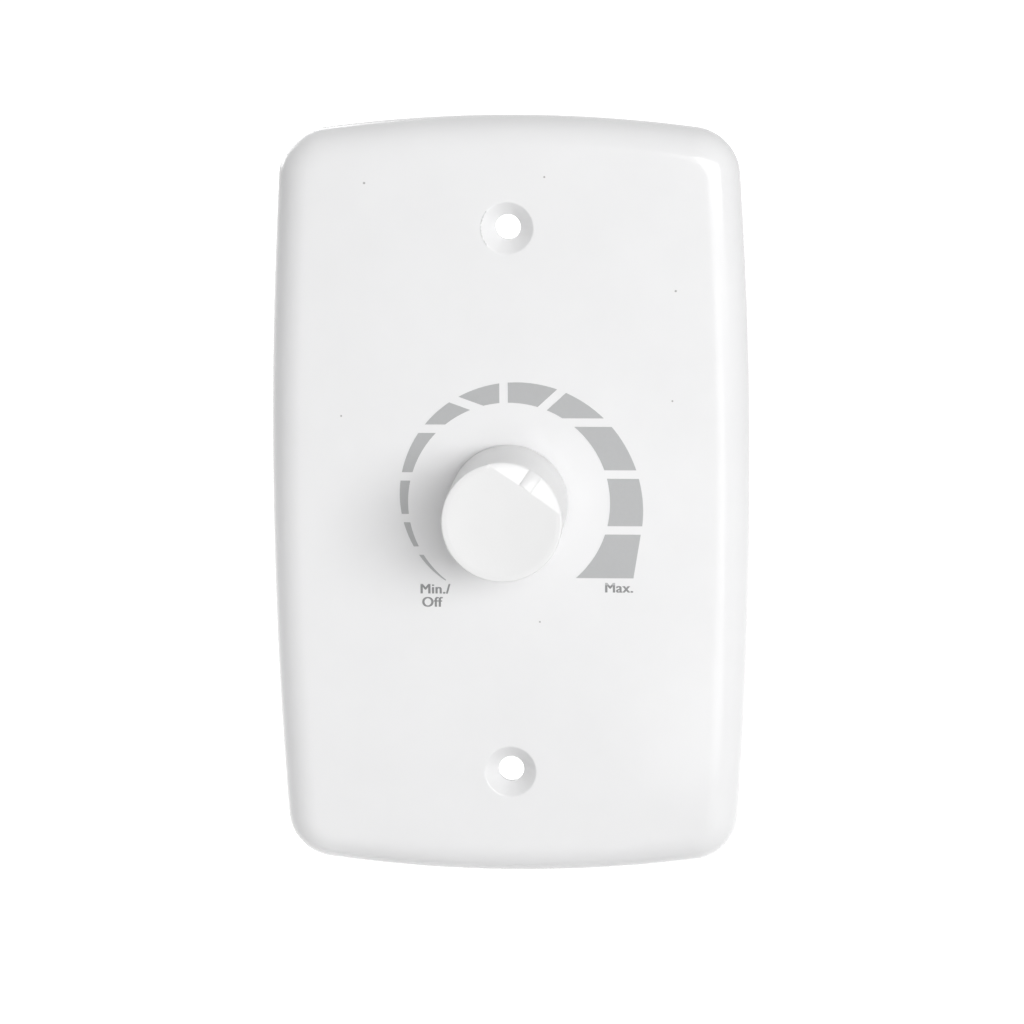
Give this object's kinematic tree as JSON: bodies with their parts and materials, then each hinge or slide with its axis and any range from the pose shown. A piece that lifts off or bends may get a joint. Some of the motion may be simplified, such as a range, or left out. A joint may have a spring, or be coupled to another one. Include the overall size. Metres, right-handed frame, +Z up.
{
  "type": "rotary fan speed control",
  "caption": "Wall plate with a rotary speed knob, a printed crescent speed scale and a boxed electronic control with wire clamps behind it.",
  "frame": {"origin": "on the knob's axis, in the plane of the plate's rear rim, which is the face of the wall", "axes": "+X to the right seen from the front, +Y into the wall, +Z up"},
  "size_m": [0.0728, 0.0507, 0.1164],
  "materials": {
    "plate_plastic": "glossy white moulded plastic",
    "knob_plastic": "white moulded plastic, satin gloss",
    "scale_ink": "thin grey printed ink",
    "spring_steel": "hardened spring steel",
    "plated_steel": "bright zinc-plated steel",
    "die_cast_zinc": "die-cast zinc, as cast",
    "shaft_aluminium": "turned aluminium",
    "sink_aluminium": "folded aluminium sheet",
    "phenolic": "brown phenolic laminate and moulding",
    "contact_brass": "stamped brass",
    "tinned_brass": "tinned metal legs",
    "board_laminate": "paper laminate circuit board",
    "component_black": "black moulding compound",
    "film_capacitor": "dipped film capacitor",
    "box_capacitor": "moulded box, yellow",
    "ferrite": "sintered ferrite",
    "enamelled_copper": "enamelled copper wire",
    "resistor_coat": "lacquered resistor body",
    "diode_glass_blue": "blue glass body",
    "fuse_body": "ceramic tube fuse",
    "block_plastic": "light grey moulded nylon",
    "housing_plastic": "white moulded plastic, fine matt"
  },
  "bodies": {
    "wall_unit": {"face_plate": "plate_plastic", "speed_scale_print": "scale_ink", "mounting_nut": "plated_steel", "lock_washer": "plated_steel", "pot_bushing": "die_cast_zinc", "pot_track": "phenolic", "pot_terminals": "tinned_brass", "pot_cover": "plated_steel", "pot_switch": "phenolic", "switch_terminals": "tinned_brass", "circuit_board": "board_laminate", "triac_body": "component_black", "triac_leadframe": "tinned_brass", "heat_sink": "sink_aluminium", "triac_screw": "plated_steel", "triac_nut": "plated_steel", "timing_capacitor": "film_capacitor", "filter_capacitor": "box_capacitor", "choke_core": "ferrite", "choke_winding": "enamelled_copper", "resistors": "resistor_coat", "trigger_diode": "diode_glass_blue", "safety_fuse": "fuse_body", "terminal_block": "block_plastic", "terminal_strips": "contact_brass", "rear_housing": "housing_plastic", "housing_screws": "plated_steel"},
    "knob": {"knob": "knob_plastic", "knob_spring_clip": "spring_steel", "pot_shaft": "shaft_aluminium", "shaft_ring": "spring_steel", "pot_rotor": "phenolic", "pot_wiper": "contact_brass"},
    "clamp_screw_left": {"terminal_screw_left": "plated_steel"},
    "clamp_screw_right": {"terminal_screw_right": "plated_steel"},
    "clamp_cage_left": {"terminal_cage_left": "contact_brass"},
    "clamp_cage_right": {"terminal_cage_right": "contact_brass"}
  },
  "joints": [
    {"name": "knob_turn", "type": "hinge", "parent": "wall_unit", "child": "knob", "pos_m": [0, 0, 0], "axis": [0, 1, 0], "range_deg": [-175, 105]},
    {"name": "clamp_screw_left_turn", "type": "hinge", "parent": "wall_unit", "child": "clamp_screw_left", "pos_m": [-0.0045, 0.024, -0.02285], "axis": [0, -1, 0], "range_deg": [0, 2160]},
    {"name": "clamp_screw_right_turn", "type": "hinge", "parent": "wall_unit", "child": "clamp_screw_right", "pos_m": [0.0045, 0.024, -0.02285], "axis": [0, -1, 0], "range_deg": [0, 2160]},
    {"name": "clamp_cage_left_slide", "type": "slide", "parent": "wall_unit", "child": "clamp_cage_left", "axis": [0, 1, 0], "range_m": [0, 0.003]},
    {"name": "clamp_cage_right_slide", "type": "slide", "parent": "wall_unit", "child": "clamp_cage_right", "axis": [0, 1, 0], "range_m": [0, 0.003]}
  ],
  "couplings": [
    {"joint": "clamp_screw_left_turn", "follows": "clamp_cage_left_slide", "rad_per_m": 12566},
    {"joint": "clamp_screw_right_turn", "follows": "clamp_cage_right_slide", "rad_per_m": 12566}
  ]
}
